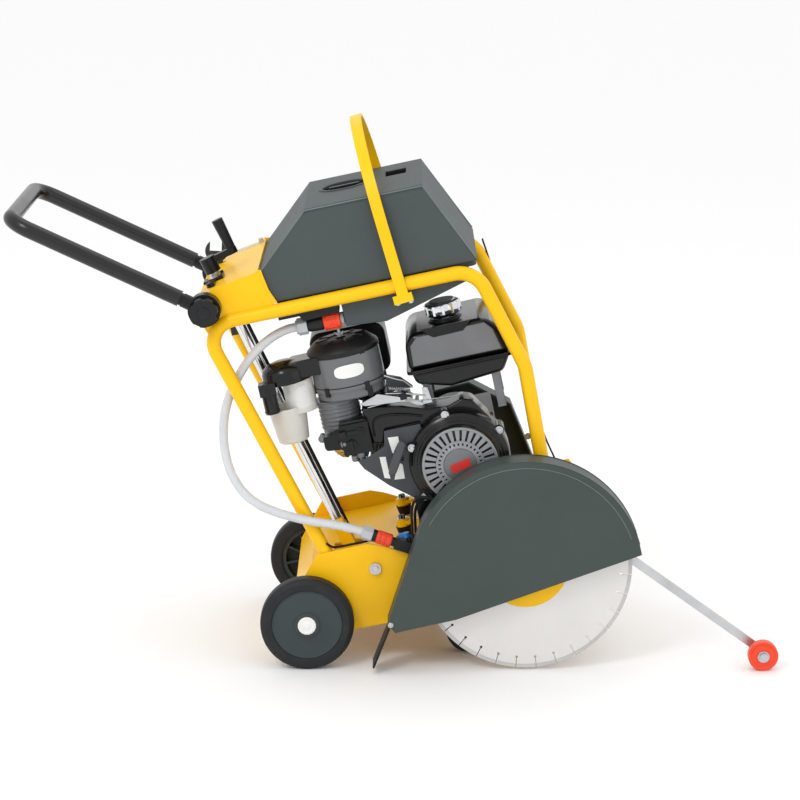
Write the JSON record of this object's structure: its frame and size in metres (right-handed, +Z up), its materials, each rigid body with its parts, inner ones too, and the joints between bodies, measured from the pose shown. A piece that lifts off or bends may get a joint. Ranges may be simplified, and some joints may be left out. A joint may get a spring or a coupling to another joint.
{
  "type": "walk-behind concrete saw",
  "caption": "Walk-behind concrete saw with a guarded blade on the right side, petrol engine, water tank, tubular frame and fold-down handle.",
  "frame": {"origin": "centre of the footprint on the ground, standing on the rear and front wheels", "axes": "+X forward, +Y to the machine's left, +Z up; the chassis is tilted 12 degrees nose-up in the transport position"},
  "size_m": [1.6303, 0.574, 1.1542],
  "materials": {
    "yellow_paint": "gloss powder coat",
    "grey_paint": "satin powder coat",
    "grey_plastic": "rotomoulded",
    "black_plastic": "satin",
    "black_paint": "semi-gloss",
    "rubber": "matte",
    "tyre": "matte",
    "steel": "satin",
    "zinc": "zinc plated",
    "chrome": "polished",
    "cast": "as cast",
    "clear_hose": "translucent",
    "bowl": "translucent",
    "orange": "satin",
    "blue": "satin",
    "red": "satin",
    "segment": "sintered"
  },
  "bodies": {
    "chassis": {"base_frame": "yellow_paint", "frame_loop_right": "yellow_paint", "frame_loop_left": "yellow_paint", "console": "yellow_paint", "lifting_bail": "yellow_paint", "frame_bolts": "zinc", "water_tank": "grey_plastic", "tank_coupler": "orange", "water_hose": "clear_hose", "valve_coupler": "orange", "water_valve": "black_plastic", "chassis_lines": "rubber", "pointer_cord": "rubber", "depth_scale": "zinc", "rear_axle": "zinc", "arbor_bearings": "cast", "v_belts": "rubber", "belt_cover": "grey_paint", "engine_bed": "yellow_paint", "rubber_buffers": "rubber", "engine_block": "cast", "recoil_cover": "black_paint", "fuel_tank": "black_paint", "air_cleaner": "black_plastic", "dust_bowl": "bowl", "carburettor": "cast", "muffler": "black_paint"},
    "tank_cap_body": {"tank_cap": "black_plastic"},
    "valve_lever_body": {"valve_lever": "blue"},
    "handle": {"handle_bar": "black_paint", "handle_sleeve": "rubber"},
    "knob_right": {"star_knob_right": "black_plastic"},
    "knob_left": {"star_knob_left": "black_plastic"},
    "crank": {"crank_arm": "black_paint"},
    "crank_handle": {"crank_grip": "black_plastic"},
    "lift_strut": {"lift_tube": "chrome", "lift_yoke": "yellow_paint", "depth_rod": "black_paint"},
    "spanner_body": {"spanner": "steel"},
    "crank_catch": {"crank_lock": "black_paint"},
    "wheel_rear_right": {"rear_wheel_right": "tyre"},
    "wheel_rear_left": {"rear_wheel_left": "tyre"},
    "front_carriage": {"swing_frame": "black_paint", "front_axle": "zinc"},
    "wheel_front_right": {"front_wheel_right": "tyre"},
    "wheel_front_left": {"front_wheel_left": "tyre"},
    "blade_drive": {"arbor_shaft": "steel", "blade_flanges": "steel", "blade_core": "steel", "blade_segments": "segment"},
    "engine_shaft": {"crankshaft": "cast"},
    "starter_grip": {"recoil_grip": "black_plastic"},
    "fuel_cap_body": {"fuel_cap": "chrome"},
    "throttle": {"throttle_lever": "black_plastic"},
    "choke": {"choke_lever": "black_plastic"},
    "switch": {"stop_switch": "red"},
    "guard": {"blade_guard": "grey_paint", "mud_flap": "rubber"},
    "pointer": {"pointer_arm": "zinc"},
    "pointer_roller": {"pointer_wheel": "orange"}
  },
  "joints": [
    {"name": "handle_fold", "type": "hinge", "parent": "chassis", "child": "handle", "pos_m": [-0.39673, 0.013, 0.77314], "axis": [0, -1, 0], "range_deg": [-40, 90]},
    {"name": "knob_right_turn", "type": "hinge", "parent": "chassis", "child": "knob_right", "pos_m": [-0.39673, -0.23, 0.77314], "axis": [0, -1, 0], "continuous": true},
    {"name": "knob_left_turn", "type": "hinge", "parent": "chassis", "child": "knob_left", "pos_m": [-0.39673, 0.256, 0.77314], "axis": [0, 1, 0], "continuous": true},
    {"name": "crank_turn", "type": "hinge", "parent": "chassis", "child": "crank", "pos_m": [-0.38361, -0.047, 0.81581], "axis": [-0.4305, 0, 0.9026], "range_deg": [-40, 800]},
    {"name": "grip_spin", "type": "hinge", "parent": "crank", "child": "crank_handle", "pos_m": [-0.33306, -0.047, 0.83991], "axis": [-0.4305, 0, 0.9026], "continuous": true},
    {"name": "strut_drive", "type": "slide", "parent": "chassis", "child": "lift_strut", "axis": [0.4305, 0, -0.9026], "range_m": [-0.001, 0.0225]},
    {"name": "spanner_lift", "type": "slide", "parent": "chassis", "child": "spanner_body", "axis": [-0.2079, 0, 0.9781], "range_m": [0, 0.22]},
    {"name": "catch_swing", "type": "hinge", "parent": "chassis", "child": "crank_catch", "pos_m": [-0.38563, -0.153, 0.81231], "axis": [-0.3633, 0, 0.9317], "range_deg": [0, 30]},
    {"name": "rear_wheel_right_spin", "type": "hinge", "parent": "chassis", "child": "wheel_rear_right", "pos_m": [-0.1872, -0.232, 0.1], "axis": [0, 1, 0], "continuous": true},
    {"name": "rear_wheel_left_spin", "type": "hinge", "parent": "chassis", "child": "wheel_rear_left", "pos_m": [-0.1872, 0.258, 0.1], "axis": [0, 1, 0], "continuous": true},
    {"name": "carriage_swing", "type": "hinge", "parent": "chassis", "child": "front_carriage", "pos_m": [-0.04223, 0.013, 0.21158], "axis": [0, -1, 0], "range_deg": [0, 26]},
    {"name": "front_wheel_right_spin", "type": "hinge", "parent": "front_carriage", "child": "wheel_front_right", "pos_m": [0.16018, -0.117, 0.04999], "axis": [0, 1, 0], "continuous": true},
    {"name": "front_wheel_left_spin", "type": "hinge", "parent": "front_carriage", "child": "wheel_front_left", "pos_m": [0.16018, 0.143, 0.04999], "axis": [0, 1, 0], "continuous": true},
    {"name": "blade_spin", "type": "hinge", "parent": "chassis", "child": "blade_drive", "pos_m": [0.27587, 0.013, 0.23012], "axis": [0, 1, 0], "continuous": true},
    {"name": "engine_shaft_spin", "type": "hinge", "parent": "chassis", "child": "engine_shaft", "pos_m": [0.13779, 0.013, 0.44204], "axis": [0, 1, 0], "continuous": true},
    {"name": "starter_pull", "type": "slide", "parent": "chassis", "child": "starter_grip", "axis": [-0.9511, 0, 0.309], "range_m": [0, 0.25]},
    {"name": "fuel_cap_turn", "type": "hinge", "parent": "chassis", "child": "fuel_cap_body", "pos_m": [0.10108, -0.079, 0.75423], "axis": [-0.2079, 0, 0.9781], "continuous": true},
    {"name": "tank_cap_turn", "type": "hinge", "parent": "chassis", "child": "tank_cap_body", "pos_m": [-0.10765, 0.043, 0.9859], "axis": [-0.2079, 0, 0.9781], "continuous": true},
    {"name": "throttle_swing", "type": "hinge", "parent": "chassis", "child": "throttle", "pos_m": [0.01747, -0.139, 0.58004], "axis": [-0.2079, 0, 0.9781], "range_deg": [-35, 35]},
    {"name": "choke_swing", "type": "hinge", "parent": "chassis", "child": "choke", "pos_m": [-0.07324, -0.181, 0.50658], "axis": [0, 1, 0], "range_deg": [-15, 20]},
    {"name": "switch_turn", "type": "hinge", "parent": "chassis", "child": "switch", "pos_m": [-0.09131, -0.181, 0.47616], "axis": [0, 1, 0], "range_deg": [0, 60]},
    {"name": "valve_turn", "type": "hinge", "parent": "chassis", "child": "valve_lever_body", "pos_m": [0.02298, -0.203, 0.28474], "axis": [-0.2079, 0, 0.9781], "range_deg": [-90, 0]},
    {"name": "guard_tilt", "type": "hinge", "parent": "chassis", "child": "guard", "pos_m": [0.05452, -0.227, 0.22294], "axis": [0, -1, 0], "range_deg": [0, 38]},
    {"name": "pointer_swing", "type": "hinge", "parent": "chassis", "child": "pointer", "pos_m": [0.37848, -0.213, 0.32452], "axis": [0, -1, 0], "range_deg": [0, 125]},
    {"name": "roller_spin", "type": "hinge", "parent": "pointer", "child": "pointer_roller", "pos_m": [0.78311, -0.249, 0.03216], "axis": [0, 1, 0], "continuous": true}
  ],
  "couplings": [
    {"joint": "strut_drive", "follows": "carriage_swing", "m_per_rad": 0.0473},
    {"joint": "crank_turn", "follows": "carriage_swing", "ratio": 29.7},
    {"joint": "engine_shaft_spin", "follows": "blade_spin", "ratio": 1.1304}
  ]
}
